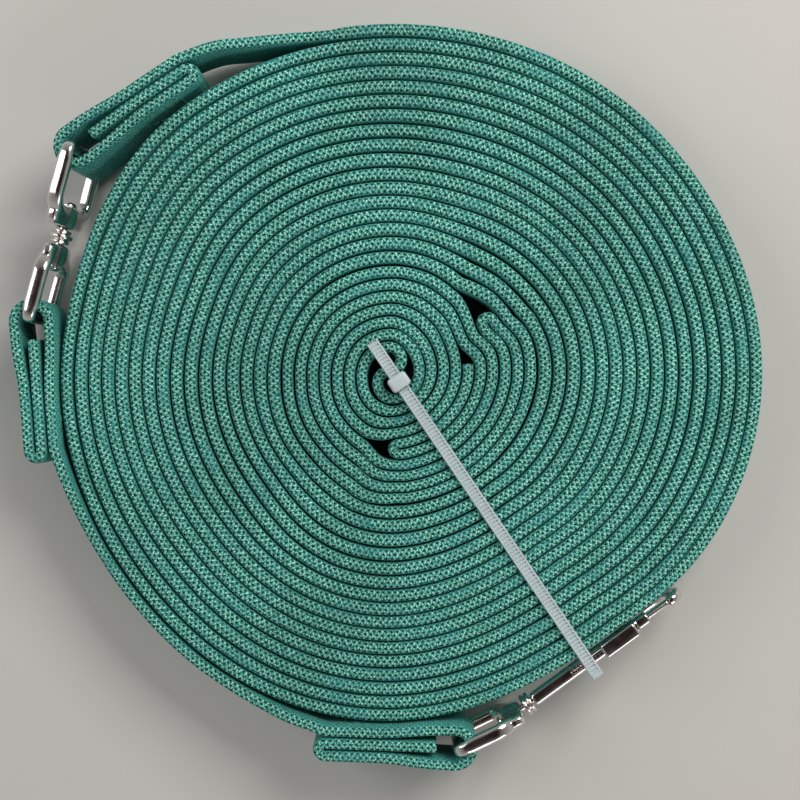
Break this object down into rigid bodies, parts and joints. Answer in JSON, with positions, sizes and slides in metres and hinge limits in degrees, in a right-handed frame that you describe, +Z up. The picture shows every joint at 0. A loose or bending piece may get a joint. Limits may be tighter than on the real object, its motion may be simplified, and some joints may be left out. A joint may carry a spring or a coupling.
{
  "type": "training leash",
  "caption": "Long flat-webbing training lead wound on edge into a roll, with a swivel connector, a short leader, a bolt snap hook and a cable tie round it all.",
  "frame": {"origin": "centre of the bounding box, at the plane the roll lies on", "axes": "+Z up, square to the flat roll; the snap hook points along +X and +Y, 36 degrees from +X"},
  "size_m": [0.2098, 0.2076, 0.0277],
  "materials": {
    "webbing": "woven teal green webbing with small dark dots",
    "thread": "green sewing thread",
    "nickel": "bright nickel plate",
    "spring_steel": "drawn wire",
    "nylon": "natural white nylon"
  },
  "bodies": {
    "roll": {"main_strap": "webbing", "leader_strap": "webbing", "hand_loop_seam": "thread", "line_end_seam": "thread", "leader_upper_seam": "thread", "leader_lower_seam": "thread", "connector_upper_loop": "nickel", "connector_lower_loop": "nickel", "snap_eye": "nickel", "cable_tie": "nylon"},
    "connector_pin": {"connector_rivet": "nickel", "connector_collar": "nickel"},
    "snap": {"snap_body": "nickel", "snap_stud": "nickel", "snap_collar": "nickel", "bolt_spring": "spring_steel"},
    "bolt": {"snap_bolt": "nickel"}
  },
  "joints": [
    {"name": "connector_swivel", "type": "hinge", "parent": "roll", "child": "connector_pin", "pos_m": [-0.09326, 0.04472, 0.01395], "axis": [0.26, 0.9656, 0], "continuous": true},
    {"name": "snap_swivel", "type": "hinge", "parent": "roll", "child": "snap", "pos_m": [0.03934, -0.08788, 0.01395], "axis": [0.809, 0.5878, 0], "range_deg": [-12, 7]},
    {"name": "bolt_slide", "type": "slide", "parent": "snap", "child": "bolt", "axis": [-0.809, -0.5878, 0], "range_m": [0, 0.0075], "stiffness_N_per_m": 250, "springref_m": -0.01, "deforming": ["bolt_spring"]}
  ]
}
